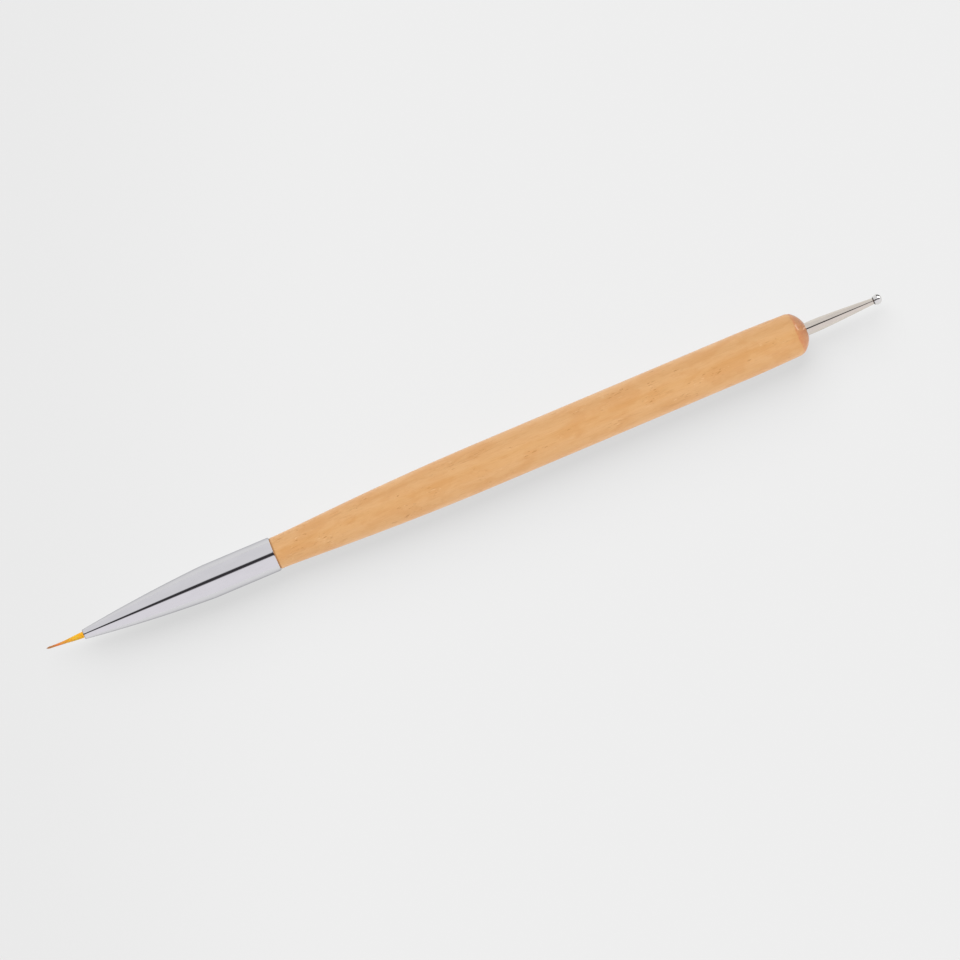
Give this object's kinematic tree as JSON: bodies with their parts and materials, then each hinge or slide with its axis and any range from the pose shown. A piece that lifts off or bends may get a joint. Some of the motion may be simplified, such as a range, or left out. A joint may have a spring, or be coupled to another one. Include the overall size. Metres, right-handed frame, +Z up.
{
  "type": "nail art pen",
  "caption": "Double-ended nail art pen: a fine liner brush in a long chromed ferrule, a turned wooden handle, and a ball dotting tip on a tapered metal stem.",
  "frame": {"origin": "on the pen's axis, at the middle of its overall length", "axes": "+X along the pen's axis, from the brush to the dotting ball; +Z up as the pen lies on a surface; the brush's point leans slightly to +Y"},
  "size_m": [0.173, 0.009, 0.009],
  "materials": {
    "wood": "pale fine-grained wood under clear satin lacquer",
    "chrome": "bright mirror chrome plating on a drawn tube",
    "nickel": "polished nickel plating on turned steel",
    "ball_steel": "polished bearing ball",
    "bristle": "golden nylon filaments that turn orange and then brown at the point",
    "thread": "undyed binding thread",
    "epoxy": "cast amber epoxy",
    "glue": "set wood glue"
  },
  "bodies": {
    "root": {"handle": "wood", "ferrule": "chrome", "ferrule_adhesive": "glue", "bristle_tuft": "bristle", "tuft_binding": "thread", "tuft_potting": "epoxy", "dotting_stem": "nickel", "dotting_ball": "ball_steel", "stem_adhesive": "glue"}
  },
  "joints": []
}
